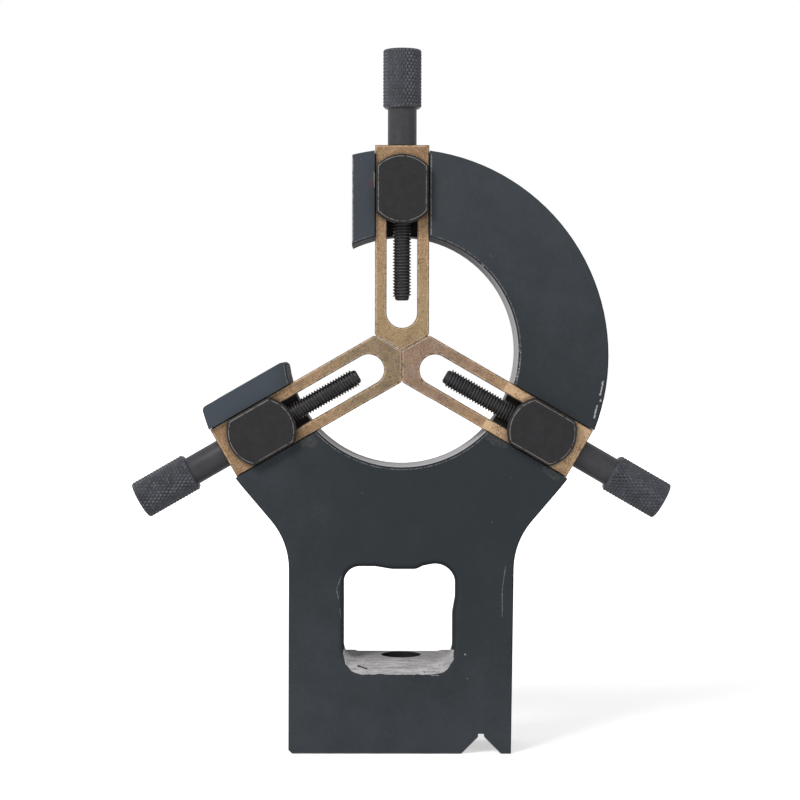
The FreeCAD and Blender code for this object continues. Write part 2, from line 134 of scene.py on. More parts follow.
def lathe(mesh, profile, angles, reach=lambda angle, radius: radius):
    """Rings about Z from (radius, height) pairs, closed with a fan where the radius is 0.

    reach gives a point's distance from the axis, for outlines that aren't round.
    """
    previous = None
    for number, (radius, height) in enumerate(profile):
        if radius == 0:
            if previous:
                fan(mesh, previous, (0, 0, height))
            continue
        ring = [
            mesh.verts.new(
                (
                    reach(angle, radius) * math.cos(angle),
                    reach(angle, radius) * math.sin(angle),
                    height,
                )
            )
            for angle in angles
        ]
        if previous:
            bridge(mesh, previous, ring)
        elif number:
            fan(mesh, ring, (0, 0, profile[0][1]), flip=True)
        previous = ring


def even_angles(count):
    return [2 * math.pi * step / count for step in range(count)]


def cut_level(mesh, height, clear_above=False, clear_below=False):
    """Puts edges round a mesh at a height, and clears what lies beyond it."""
    everything = mesh.verts[:] + mesh.edges[:] + mesh.faces[:]
    bmesh.ops.bisect_plane(
        mesh, geom=everything, dist=1e-8, plane_co=(0, 0, height), plane_no=(0, 0, 1),
        clear_outer=clear_above, clear_inner=clear_below,
    )


def carry_end(mesh, height, profile):
    """Carries the open end of a tube at a height through round (radius, height) steps.

    The last step's radius may be 0, which closes the tube.
    """
    near = 1e-7
    edges = [
        edge
        for edge in mesh.edges
        if edge.is_boundary and all(abs(vertex.co.z - height) < near for vertex in edge.verts)
    ]
    for radius, level in profile:
        if radius == 0:
            made = bmesh.ops.extrude_edge_only(mesh, edges=edges)["geom"]
            tip = [item for item in made if isinstance(item, bmesh.types.BMVert)]
            for vertex in tip:
                vertex.co = (0, 0, level)
            bmesh.ops.remove_doubles(mesh, verts=tip, dist=1e-7)
            return
        made = bmesh.ops.extrude_edge_only(mesh, edges=edges)["geom"]
        ring = {item for item in made if isinstance(item, bmesh.types.BMVert)}
        for vertex in ring:
            flat = Vector((vertex.co.x, vertex.co.y, 0)).normalized() * radius
            vertex.co = (flat.x, flat.y, level)
        edges = [
            item
            for item in made
            if isinstance(item, bmesh.types.BMEdge) and all(v in ring for v in item.verts)
        ]


def limit_radius(mesh, limit):
    """Turns the mesh down to a radius that depends on the height."""
    for vertex in mesh.verts:
        radius = math.hypot(vertex.co.x, vertex.co.y)
        allowed = limit(vertex.co.z)
        if radius > allowed:
            vertex.co.x *= allowed / radius
            vertex.co.y *= allowed / radius


def threaded_tube(mesh, radius, pitch, start, end, segments=44):
    """An open right-hand ISO thread about Z between two heights."""
    root = radius - 0.54 * pitch
    tooth = [(0.0, root), (0.2, root), (0.52, radius), (0.68, radius)]
    turns = math.ceil((end - start) / pitch) + 2
    columns = []
    for segment in range(segments):
        angle = 2 * math.pi * segment / segments
        columns.append(
            [
                mesh.verts.new(
                    (
                        reach * math.cos(angle),
                        reach * math.sin(angle),
                        start + (turn - 1 + along + segment / segments) * pitch,
                    )
                )
                for turn in range(turns)
                for along, reach in tooth
            ]
        )
    rows = len(columns[0])
    for segment in range(segments):
        here = columns[segment]
        last = segment == segments - 1
        ahead = columns[0][len(tooth):] if last else columns[segment + 1]
        for row in range(min(rows, len(ahead)) - 1):
            mesh.faces.new((here[row], ahead[row], ahead[row + 1], here[row + 1]))
    cut_level(mesh, start, clear_below=True)
    cut_level(mesh, end, clear_above=True)


def knurled_tube(mesh, radius, depth, count, slant, start, end):
    """An open diamond-knurled tube about Z: pyramids with small flat tops, on a slanted lattice."""
    period = 2 * math.pi * radius / count / math.tan(slant)
    lines = [0.0, 0.36, 0.64]
    rows = len(lines) * (math.ceil((end - start) / period) * 2 + 4)
    around = len(lines) * count

    def line(number):
        return number // len(lines) + lines[number % len(lines)]

    grid = {}
    for i in range(around):
        for row in range(rows):
            j = i - row
            angle = math.pi * (line(i) + line(j)) / count
            height = start - period + (line(i) - line(j)) / 2 * period
            in_groove = i % len(lines) == 0 or j % len(lines) == 0
            reach = radius - depth if in_groove else radius
            grid[i, row] = mesh.verts.new(
                (reach * math.cos(angle), reach * math.sin(angle), height)
            )
    for i in range(around):
        ahead = (i + 1) % around
        for row in range(1, rows - 1):
            mesh.faces.new(
                (grid[i, row], grid[i, row - 1], grid[ahead, row], grid[ahead, row + 1])
            )
    cut_level(mesh, start, clear_below=True)
    cut_level(mesh, end, clear_above=True)


def finish_mesh(mesh, name, smooth_angle=35):
    """Blender mesh data from a bmesh, with sharp edges where faces meet steeply."""
    bmesh.ops.recalc_face_normals(mesh, faces=mesh.faces)
    data = bpy.data.meshes.new(name)
    mesh.to_mesh(data)
    mesh.free()
    data.shade_smooth()
    data.set_sharp_from_angle(angle=math.radians(smooth_angle))
    return data


def join(parts):
    """One bmesh from several, each with its material number."""
    whole = bmesh.new()
    for part, number in parts:
        for face in part.faces:
            face.material_index = number
        data = bpy.data.meshes.new("part")
        part.to_mesh(data)
        part.free()
        whole.from_mesh(data)
        bpy.data.meshes.remove(data)
    return whole


def place(data, name, angle, materials, body, node):
    """A copy of the mesh, turned about the work axis to its station and put in its node's place."""
    data = data.copy()
    data.transform(
        Matrix.Translation((0, 0, WORK_HEIGHT))
        @ Matrix.Rotation(angle, 4, "Y")
        @ Matrix.Translation((0, 0, -WORK_HEIGHT))
    )
    for material in materials:
        data.materials.append(material)
    piece = bpy.data.objects.new(name, data)
    bpy.context.scene.collection.objects.link(piece)
    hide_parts(node)
    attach(piece, body)
    return piece


# ---------------------------------------------------------------------------
# Pieces built here
# ---------------------------------------------------------------------------

def build_screw():
    """Thread, plain shank and knurled knob, about the top station's screw axis."""
    bevel = 0.25 * MM
    shoulder = FINGER_HIGH.z
    tip_length, tip_radius = 1.3 * MM, 2.3 * MM

    thread = bmesh.new()
    threaded_tube(thread, SCREW_THREAD_RADIUS, SCREW_PITCH, SCREW_LOW.z + tip_length, shoulder)
    carry_end(
        thread,
        SCREW_LOW.z + tip_length,
        [
            (tip_radius, SCREW_LOW.z + tip_length - bevel / 2),
            (tip_radius, SCREW_LOW.z + 2 * bevel),
            (tip_radius - 2 * bevel, SCREW_LOW.z),
            (0, SCREW_LOW.z),
        ],
    )

    # The knurl runs out on a chamfer at its inner end and on a rounded edge at its outer one
    knob = bmesh.new()
    knurl_depth, chamfer, rounding = 0.42 * MM, 0.7 * MM, 1.1 * MM
    rim = KNOB_END - rounding / 3
    knurled_tube(knob, KNOB_RADIUS, knurl_depth, 30, math.radians(31), KNOB_START, rim)
    for level in (KNOB_START + chamfer / 2, KNOB_START + chamfer, KNOB_END - rounding):
        cut_level(knob, level)

    def turned(height):
        up = height - KNOB_START
        down = KNOB_END - height
        inner = KNOB_RADIUS - max(0, chamfer - up)
        outer = KNOB_RADIUS - rounding * (1 - math.sqrt(1 - min(1, max(0, 1 - down / rounding)) ** 2))
        return min(inner, outer)

    limit_radius(knob, turned)
    edge = turned(rim)
    carry_end(
        knob,
        rim,
        [
            (edge - 0.35 * MM, KNOB_END - 0.22 * MM),
            (KNOB_RADIUS - 1.6 * MM, KNOB_END - 0.1 * MM),
            (KNOB_RADIUS * 0.5, KNOB_END - 0.02 * MM),
            (0, KNOB_END),
        ],
    )
    carry_end(knob, KNOB_START, [(SCREW_SHANK_RADIUS, KNOB_START)])

    shank = bmesh.new()
    fillet = 0.3 * MM
    lathe(
        shank,
        [
            (SCREW_THREAD_RADIUS - 0.2 * MM, shoulder),
            (SCREW_SHANK_RADIUS - bevel, shoulder),
            (SCREW_SHANK_RADIUS, shoulder + bevel),
            (SCREW_SHANK_RADIUS, KNOB_START - fillet),
            (SCREW_SHANK_RADIUS + fillet * 0.3, KNOB_START - fillet * 0.3),
            (SCREW_SHANK_RADIUS + fillet, KNOB_START),
        ],
        even_angles(96),
    )
    data = finish_mesh(join([(thread, 2), (shank, 1), (knob, 0)]), "adjusting_screw", 28)
    data.transform(Matrix.Translation((0, SCREW_DEPTH, 0)))
    return data


def bolt_head_and_shank():
    """The clamp bolt's head, with its two flats, and its shank with the hole for the screw."""
    bevel = 0.6 * MM
    half = BOLT_HIGH.x
    corner = math.acos(half / HEAD_RADIUS)
    angles = sorted(
        even_angles(144)
        + [base + side * corner for base in (0, math.pi) for side in (-1, 1) if base + side * corner >= 0]
        + [2 * math.pi - corner]
    )

    def flatted(angle, radius):
        inset = HEAD_RADIUS - radius
        return min(radius, max(half - inset, BOLT_SHANK_RADIUS) / max(abs(math.cos(angle)), 1e-6))

    depth = FINGER_LOW.y
    front = BOLT_LOW.y
    head = bmesh.new()
    lathe(
        head,
        [
            (0, front),
            (HEAD_RADIUS - bevel - 0.3 * MM, front),
            (HEAD_RADIUS - bevel - 0.22 * MM, front),
            (HEAD_RADIUS - bevel, front + 0.06 * MM),
            (HEAD_RADIUS - 0.1 * MM, front + 0.4 * MM),
            (HEAD_RADIUS, front + bevel),
            (HEAD_RADIUS, depth - 0.4 * bevel),
            (HEAD_RADIUS - 0.4 * bevel, depth),
            (BOLT_SHANK_RADIUS, depth),
            (BOLT_SHANK_RADIUS, BOLT_SHANK_END - bevel),
            (BOLT_SHANK_RADIUS - bevel, BOLT_SHANK_END),
            (0, BOLT_SHANK_END),
        ],
        angles,
        flatted,
    )
    return head


def cut_cross_hole(data):
    """Cuts the screw's hole across the shank."""
    bolt = bpy.data.objects.new("bolt_blank", data)
    drill = bmesh.new()
    reach = 2 * BOLT_SHANK_RADIUS
    lathe(
        drill,
        [(0, -reach), (SCREW_THREAD_RADIUS + THREAD_PLAY, -reach), (SCREW_THREAD_RADIUS + THREAD_PLAY, reach), (0, reach)],
        even_angles(48),
    )
    bmesh.ops.recalc_face_normals(drill, faces=drill.faces)
    drill_data = bpy.data.meshes.new("drill")
    drill.to_mesh(drill_data)
    drill.free()
    cutter = bpy.data.objects.new("drill", drill_data)
    cutter.location = (0, SCREW_DEPTH, CLAMP_HEIGHT)
    for item in (bolt, cutter):
        bpy.context.scene.collection.objects.link(item)
    cut = bolt.modifiers.new("cross_hole", "BOOLEAN")
    cut.operation = "DIFFERENCE"
    cut.object = cutter
    bpy.context.view_layer.update()
    drilled = bpy.data.meshes.new_from_object(
        bolt.evaluated_get(bpy.context.evaluated_depsgraph_get())
    )
    for item in (bolt, cutter):
        bpy.data.objects.remove(item)
    bpy.data.meshes.remove(drill_data)
    return drilled


def along_y(data):
    """Turns a mesh built along Z to lie along Y, about the top station's clamp axis."""
    data.transform(Matrix.Translation((0, 0, CLAMP_HEIGHT)) @ Matrix.Rotation(-math.pi / 2, 4, "X"))
    return data


def build_bolt():
    """The clamp bolt: head and shank, and the thread behind the casting."""
    blank = along_y(finish_mesh(bolt_head_and_shank(), "clamp_bolt", 28))
    drilled = cut_cross_hole(blank)

    thread = bmesh.new()
    end = BOLT_HIGH.y
    chamfer = 0.9 * MM
    threaded_tube(thread, BOLT_THREAD_RADIUS, BOLT_PITCH, BOLT_SHANK_END, end)
    cut_level(thread, end - chamfer / 2)
    limit_radius(thread, lambda height: BOLT_THREAD_RADIUS - max(0, chamfer - (end - height)))
    carry_end(thread, end, [(BOLT_THREAD_RADIUS - chamfer, end), (0, end)])
    carry_end(thread, BOLT_SHANK_END, [(0, BOLT_SHANK_END)])
    threaded = along_y(finish_mesh(thread, "bolt_thread", 28))

    whole = bmesh.new()
    for part in (drilled, threaded):
        whole.from_mesh(part)
    return finish_mesh(whole, "clamp_bolt", 28)


def build_nut():
    """A hexagon nut with 30 degree chamfers and a countersunk thread."""
    across = (NUT_HIGH.z - NUT_LOW.z) / 2
    low, high = NUT_LOW.y, NUT_HIGH.y
    hole = BOLT_THREAD_RADIUS + THREAD_PLAY
    crown = across * 0.94
    slope = math.tan(math.radians(30))

    def hexagon(angle):
        return across / math.cos((angle % (math.pi / 3)) - math.pi / 6)

    nut = bmesh.new()
    angles = even_angles(120)
    rings = []
    for inward, level in ((1, low), (-1, high)):
        countersink = [(hole, level + inward * 0.6 * MM), (hole + 0.6 * MM, level), (crown, level)]
        side = [
            [
                (radius * math.cos(angle), radius * math.sin(angle), height)
                for angle in angles
            ]
            for radius, height in countersink
        ]
        side.append(
            [
                (
                    hexagon(angle) * math.cos(angle),
                    hexagon(angle) * math.sin(angle),
                    level + inward * (hexagon(angle) - crown) * slope,
                )
                for angle in angles
            ]
        )
        rings.append(side)
    loops = [[nut.verts.new(point) for point in ring] for ring in rings[0] + rings[1][::-1]]
    for lower, upper in zip(loops, loops[1:] + loops[:1]):
        bridge(nut, lower, upper)
    return along_y(finish_mesh(nut, "clamp_nut", 20))


# ---------------------------------------------------------------------------
# Material building
# ---------------------------------------------------------------------------

class Field:
    """A number that varies over a surface, as the output of a shader node."""

    def __init__(self, tree, socket):
        self.tree = tree
        self.socket = socket

    def step(self, operation, *others, clamp=False):
        node = self.tree.nodes.new("ShaderNodeMath")
        node.operation = operation
        node.use_clamp = clamp
        self.tree.links.new(self.socket, node.inputs[0])
        for number, other in enumerate(others, 1):
            if isinstance(other, Field):
                self.tree.links.new(other.socket, node.inputs[number])
            else:
                node.inputs[number].default_value = other
        return Field(self.tree, node.outputs[0])

    def __add__(self, other):
        return self.step("ADD", other)

    def __sub__(self, other):
        return self.step("SUBTRACT", other)

    def __mul__(self, other):
        return self.step("MULTIPLY", other)

    def __abs__(self):
        return self.step("ABSOLUTE")

    def __and__(self, other):
        return self.step("MINIMUM", other)

    def __or__(self, other):
        return self.step("MAXIMUM", other)

    def __invert__(self):
        return (self * -1.0) + 1.0

    def root(self):
        return self.step("SQRT")

    def ramp(self, low, high):
        """0 at low, 1 at high, and smooth between them; low may be the larger."""
        node = self.tree.nodes.new("ShaderNodeMapRange")
        node.interpolation_type = "SMOOTHSTEP"
        reverse = low > high
        node.inputs["From Min"].default_value = min(low, high)
        node.inputs["From Max"].default_value = max(low, high)
        node.inputs["To Min"].default_value = 1.0 if reverse else 0.0
        node.inputs["To Max"].default_value = 0.0 if reverse else 1.0
        self.tree.links.new(self.socket, node.inputs["Value"])
        return Field(self.tree, node.outputs["Result"])


class Look:
    """A material and the coordinates that its masks and grain are worked out from."""

    def __init__(self, name, roughness, metallic=0.0, specular=0.5):
        self.material = bpy.data.materials.new(name)
        self.material.use_nodes = True
        self.tree = self.material.node_tree
        self.shader = self.tree.nodes["Principled BSDF"]
        self.shader.inputs["Roughness"].default_value = roughness
        self.shader.inputs["Metallic"].default_value = metallic
        self.shader.inputs["Specular IOR Level"].default_value = specular
        coordinates = self.tree.nodes.new("ShaderNodeTexCoord")
        self.spot = coordinates.outputs["Object"]
        self.x, self.y, self.z = self.split(self.spot)
        self.normal_x, self.normal_y, self.normal_z = self.split(coordinates.outputs["Normal"])
        self.relief = None

    def split(self, vector):
        node = self.tree.nodes.new("ShaderNodeSeparateXYZ")
        self.tree.links.new(vector, node.inputs[0])
        return [Field(self.tree, output) for output in node.outputs]

    def stretched(self, along, angle=0.0):
        """The coordinates turned about Y by an angle and scaled by three numbers."""
        turn = self.tree.nodes.new("ShaderNodeMapping")
        turn.inputs["Rotation"].default_value = (0, angle, 0)
        self.tree.links.new(self.spot, turn.inputs["Vector"])
        scale = self.tree.nodes.new("ShaderNodeMapping")
        scale.inputs["Scale"].default_value = along
        self.tree.links.new(turn.outputs[0], scale.inputs["Vector"])
        return scale.outputs[0]

    def noise(self, size, detail=2.0, roughness=0.5, spot=None):
        """Noise with features of a size in metres, from 0 to 1 about 0.5."""
        node = self.tree.nodes.new("ShaderNodeTexNoise")
        node.inputs["Scale"].default_value = 1.0 / size
        node.inputs["Detail"].default_value = detail
        node.inputs["Roughness"].default_value = roughness
        self.tree.links.new(spot or self.spot, node.inputs["Vector"])
        return Field(self.tree, node.outputs["Fac"])

    def specks(self, spacing, size, share):
        """Scattered round specks: a share of the cells of a grid holds one."""
        node = self.tree.nodes.new("ShaderNodeTexVoronoi")
        node.inputs["Scale"].default_value = 1.0 / spacing
        self.tree.links.new(self.spot, node.inputs["Vector"])
        chosen, _, _ = self.split(node.outputs["Color"])
        near = Field(self.tree, node.outputs["Distance"])
        radius = size / spacing
        return near.ramp(radius, radius * 0.6) & chosen.ramp(1.0 - share, 1.0 - share + 0.02)

    def from_segment(self, across, up, start, end):
        """The distance in the front plane from the segment between two (across, up) points."""
        run = (end[0] - start[0], end[1] - start[1])
        length = run[0] ** 2 + run[1] ** 2
        along = (across - start[0]) * (run[0] / length) + (up - start[1]) * (run[1] / length)
        along = along.step("ADD", 0.0, clamp=True)
        off_across = across - start[0] - along * run[0]
        off_up = up - start[1] - along * run[1]
        return (off_across * off_across + off_up * off_up).root()

    def stroke(self, start, end, width, ragged):
        """A ragged stroke on the front face between two (x, z) points in millimetres."""
        start, end = ((x * MM, z * MM) for x, z in (start, end))
        distance = self.from_segment(self.x, self.z, start, end) + ragged * (width * MM)
        return distance.ramp(width * MM / 2, width * MM / 4)

    def blend(self, amount, under, over):
        """Colour under where the amount is 0, over where it is 1."""
        node = self.tree.nodes.new("ShaderNodeMix")
        node.data_type = "RGBA"
        self.tree.links.new(amount.socket, node.inputs["Factor"])
        for name, colour in (("A", under), ("B", over)):
            socket = next(s for s in node.inputs if s.name == name and s.type == "RGBA")
            if isinstance(colour, tuple):
                socket.default_value = (*colour, 1.0)
            else:
                self.tree.links.new(colour, socket)
        return next(s for s in node.outputs if s.type == "RGBA")

    def set(self, name, value):
        self.tree.links.new(getattr(value, "socket", value), self.shader.inputs[name])

    def bump(self, height, depth):
        """Raises the surface by a field times a depth in metres, on top of earlier relief."""
        node = self.tree.nodes.new("ShaderNodeBump")
        node.inputs["Distance"].default_value = depth
        self.tree.links.new(height.socket, node.inputs["Height"])
        if self.relief:
            self.tree.links.new(self.relief, node.inputs["Normal"])
        self.relief = node.outputs["Normal"]
        self.tree.links.new(self.relief, self.shader.inputs["Normal"])


# ---------------------------------------------------------------------------
# Materials
# ---------------------------------------------------------------------------

def station_axes(x, up, angle):
    """Coordinates across and along a finger station."""
    across = x * math.cos(angle) - up * math.sin(angle)
    along = x * math.sin(angle) + up * math.cos(angle)
    return across, along


def at_stations(look, measure):
    """The largest of what a measure gives for the three finger stations."""
    found = None
    for angle in STATIONS.values():
        value = measure(*station_axes(look.x, look.z - WORK_HEIGHT, angle))
        found = value if found is None else found | value
    return found


def machined_places(look):
    """Where the casting was cut: bore, finger channels, and other places left bright."""
    x, y, z = look.x, look.y, look.z
    up = z - WORK_HEIGHT
    soft = 0.08 * MM
    radius = (x * x + up * up).root()
    bore = radius.ramp(BORE_RADIUS + 2 * soft, BORE_RADIUS + soft)
    depth = y.ramp(FRONT + 0.05 * MM, FRONT + 0.1 * MM) & y.ramp(REAR - 0.05 * MM, REAR - 0.1 * MM)
    channel = depth & at_stations(
        look,
        lambda across, along: abs(across).ramp(CHANNEL_HALF + soft, CHANNEL_HALF + soft / 2)
        & along.ramp(BORE_RADIUS * 0.8, BORE_RADIUS * 0.82),
    )
    sole = z.ramp(0.3 * MM, 0.1 * MM)
    across_vee = abs(x - VEE_CENTRE).ramp(VEE_HALF + 0.1 * MM, VEE_HALF)
    in_vee = across_vee & z.ramp(7.0 * MM, 6.8 * MM) & abs(look.normal_y).ramp(0.5, 0.3)
    upper_gap = look.normal_x.ramp(-0.95, -0.99) & z.ramp(WORK_HEIGHT, WORK_HEIGHT + 1 * MM)
    tilt = look.normal_x * -0.5 + look.normal_z * math.cos(math.radians(30))
    lower_gap = tilt.ramp(0.95, 0.99) & x.ramp(-BORE_RADIUS * 0.7, -BORE_RADIUS * 0.75)
    return radius, bore, channel, sole | in_vee | upper_gap | lower_gap


def bare_ledge(look, wobble):
    """The milled ledge in the window, with a ragged paint line round its front lip."""
    centre, half_width, corner, low = -0.9 * MM, 17.9 * MM, 6.5 * MM, 25.6 * MM
    beside = (abs(look.x - centre) - (half_width - corner)) | 0.0
    below = (look.z * -1.0 + (low + corner)) | 0.0
    outline = (beside * beside + below * below).root() + wobble * (1.2 * MM)
    inside = outline.ramp(corner, corner - 0.15 * MM) | look.y.ramp(FRONT + 2.4 * MM, FRONT + 3.0 * MM)
    return (
        inside
        & look.z.ramp(FOOT_HEIGHT + 3.4 * MM, FOOT_HEIGHT + 3.1 * MM)
        & look.z.ramp(FOOT_HEIGHT - 6.0 * MM, FOOT_HEIGHT - 5.8 * MM)
        & abs(look.x - centre).ramp(22 * MM, 21 * MM)
        & (look.normal_z.ramp(0.02, 0.12) | look.y.ramp(FRONT + 2.4 * MM, FRONT + 3.0 * MM))
    )


def paint_chips(look):
    """Chips and scratches through the paint of the front face, and how far each goes through."""
    ragged = look.noise(0.7 * MM, 2.0) - 0.5
    strokes = [
        ((64.9, 120.2), (64.0, 116.0), 0.6, 1.0),
        ((64.2, 114.3), (64.2, 114.0), 0.7, 0.9),
        ((63.0, 112.3), (62.1, 108.6), 0.65, 1.0),
        ((14.9, 28.4), (14.4, 27.6), 0.4, 0.7),
        ((20.5, 32.1), (20.6, 32.0), 0.5, 0.9),
        ((21.3, 24.4), (21.4, 24.3), 0.3, 0.6),
        ((9.6, 25.4), (11.9, 25.3), 0.35, 0.6),
        ((25.6, 157.7), (26.0, 157.4), 0.6, 1.0),
        ((-19.3, 57.5), (-20.9, 53.1), 0.25, 0.35),
        ((-20.9, 53.1), (-20.3, 49.9), 0.25, 0.4),
        ((-19.9, 47.0), (-19.5, 44.0), 0.25, 0.3),
        ((33.6, 60.5), (32.5, 53.2), 0.3, 0.25),
        ((32.5, 53.0), (32.5, 44.5), 0.3, 0.3),
        ((9.35, 167.5), (9.35, 193.5), 0.4, 0.45),
        ((-9.0, 182.8), (-9.0, 187.5), 0.5, 0.5),
        ((-64.0, 103.6), (-60.5, 98.0), 0.4, 0.5),
    ]
    chips = None
    for start, end, width, depth in strokes:
        chip = look.stroke(start, end, width, ragged * 1.6) * depth
        chips = chip if chips is None else chips | chip
    return chips & look.y.ramp(FRONT + 0.6 * MM, FRONT + 0.4 * MM)


def casting_look():
    """Satin blue-grey paint on grey iron, bare where it was machined or rubbed."""
    look = Look("painted_iron", 0.5, specular=0.13)
    x, y, z = look.x, look.y, look.z
    wobble = look.noise(2.5 * MM, 3.0) - 0.5
    crumble = look.noise(0.55 * MM, 2.0, 0.7)
    radius, bore, channel, machined = machined_places(look)
    machined = machined & ~bore & ~channel
    ledge = bare_ledge(look, wobble)

    # Broken edges lose their paint in places, and most of it beside the loading gap
    edge = abs(look.normal_y).ramp(0.3, 0.5) & abs(look.normal_y).ramp(0.93, 0.85)
    outside = radius.ramp(BORE_RADIUS + BORE_CHAMFER + 0.3 * MM, BORE_RADIUS + BORE_CHAMFER + 0.5 * MM)
    at_gap = x.ramp(-GAP_OFFSET + 0.6 * MM, -GAP_OFFSET + 0.2 * MM)
    at_gap = at_gap & z.ramp(WORK_HEIGHT, WORK_HEIGHT + 1 * MM)
    thin = look.noise(1.6 * MM, 3.0, 0.65)
    worn = edge & outside & (at_gap * 0.35 + thin).ramp(0.68, 0.8)
    chips = paint_chips(look)

    # The bore's chamfer is painted: its rim shows a thin worn line, and flecks on the right
    rim = abs(radius - (BORE_RADIUS + BORE_CHAMFER)).ramp(0.22 * MM, 0.1 * MM)
    rim = rim & (thin + crumble).ramp(0.85, 1.05) & y.ramp(0.0, -1.0 * MM)
    by_gap = abs(z - 122 * MM).ramp(13 * MM, 6 * MM) & x.ramp(34 * MM, 36 * MM)
    flecks = radius.ramp(BORE_RADIUS + BORE_CHAMFER + 0.3 * MM, BORE_RADIUS + BORE_CHAMFER)
    flecks = flecks & by_gap & crumble.ramp(0.52, 0.6)
    chips = chips | rim * 0.3 | flecks * 0.8

    # Paint: random tone, darker at the waist and lighter outwards as painted shade, and lighter and bluer on the
    # two free ends as painted light
    across, height = x - 14 * MM, z - 88 * MM
    outward = (across * across + height * height).root().ramp(10 * MM, 105 * MM)
    cloud = look.noise(14 * MM, 4.0, 0.6)
    mottle = look.noise(1.3 * MM, 4.0, 0.7)
    tone_and_painted_shade = (cloud * 0.5 + mottle * 0.3 + outward * 0.4).ramp(0.36, 1.0)
    paint = look.blend(tone_and_painted_shade, (0.0215, 0.0262, 0.0302), (0.043, 0.0495, 0.057))
    # The two free ends at the left are lighter and bluer: painted light from the key lamp's side.
    upper_end = x.ramp(-3 * MM, -12 * MM) & z.ramp(150 * MM, 160 * MM)
    lower_end = x.ramp(-34 * MM, -44 * MM) & z.ramp(93 * MM, 104 * MM)
    painted_light_ends = upper_end * 0.4 | lower_end * 0.8
    paint = look.blend(painted_light_ends, paint, (0.055, 0.067, 0.082))
    rust = look.stroke((-9.9, 183.7), (-9.9, 184.6), 2.8, wobble * 0.4)
    paint = look.blend(rust * 0.35, paint, (0.12, 0.038, 0.042))
    rubs = (
        look.stroke((-9.4, 185.8), (-9.2, 187.6), 2.2, wobble * 0.6)
        | look.stroke((28.5, 102.6), (32.5, 100.2), 4.0, wobble * 1.2)
        | look.stroke((46.5, 91.5), (50.0, 89.5), 3.0, wobble * 1.2)
        | look.stroke((-32.5, 101.2), (-28.8, 100.0), 4.0, wobble * 1.2)
    )
    paint = look.blend((rubs & crumble.ramp(0.3, 0.7)) * 0.28, paint, (0.13, 0.125, 0.11))
    dust = look.specks(2.3 * MM, 0.1 * MM, 0.3) * 0.5 | look.specks(6.0 * MM, 0.2 * MM, 0.25) * 0.6
    paint = look.blend(dust, paint, (0.20, 0.22, 0.25))

    # Bare iron: milling streaks, and pits that the cutter didn't clean up on the ledge
    streaks = look.noise(0.7 * MM, 4.0, 0.7, look.stretched((0.15, 1.0, 1.0)))
    pits = look.noise(0.7 * MM, 3.0, 0.75).ramp(0.41, 0.31)
    crack = look.stroke((-13.9, 28.2), (-11.2, 27.4), 0.55, wobble * 1.6)
    iron = look.blend(streaks.ramp(0.3, 0.7), (0.25, 0.235, 0.24), (0.47, 0.455, 0.465))
    iron = look.blend((pits * 0.75 | crack) & ledge, iron, (0.05, 0.045, 0.047))
    dull = machined & z.ramp(90 * MM, 92 * MM)
    iron = look.blend(dull * 0.6, iron, (0.10, 0.10, 0.105))
    # The finger channels are darkened: painted shade in the recess behind the fingers.
    iron = look.blend(channel, iron, (0.05, 0.047, 0.047))
    # The bed bolt's hole is near black: painted shade inside the hole.
    hole = (x * x + y * y).root().ramp(BED_HOLE_RADIUS + 0.05 * MM, BED_HOLE_RADIUS)
    iron = look.blend(hole, iron, (0.02, 0.018, 0.018))

    # The bore was bored last. It is bright below and to the right and dark above and by the gap: painted light and
    # shade on the bare metal
    turned = look.noise(0.8 * MM, 3.0, 0.7, look.stretched((0.08, 1.0, 0.08)))
    bore_lit_side = (x * 0.7 - (z - WORK_HEIGHT) * 1.0).ramp(-26 * MM, 8 * MM)
    bore_lit_side = bore_lit_side & x.ramp(-34 * MM, -30 * MM)
    bright = look.blend(bore_lit_side, (0.10, 0.098, 0.10), (0.52, 0.515, 0.53))
    bright = look.blend(turned.ramp(0.35, 0.65) * 0.3, bright, (0.2, 0.19, 0.195))
    iron = look.blend(bore, iron, bright)

    bare = bore | channel | machined | ledge
    showing = bare | (worn * 0.8) | chips
    look.set("Base Color", look.blend(showing, paint, iron))
    steep = abs(look.normal_y).ramp(0.97, 0.8)
    satin = mottle * 0.16 + 0.5
    look.set("Roughness", satin + steep * 0.4)
    look.bump(look.noise(0.9 * MM, 4.0, 0.6), 0.025 * MM)
    look.bump(~showing, 0.03 * MM)
    return look.material


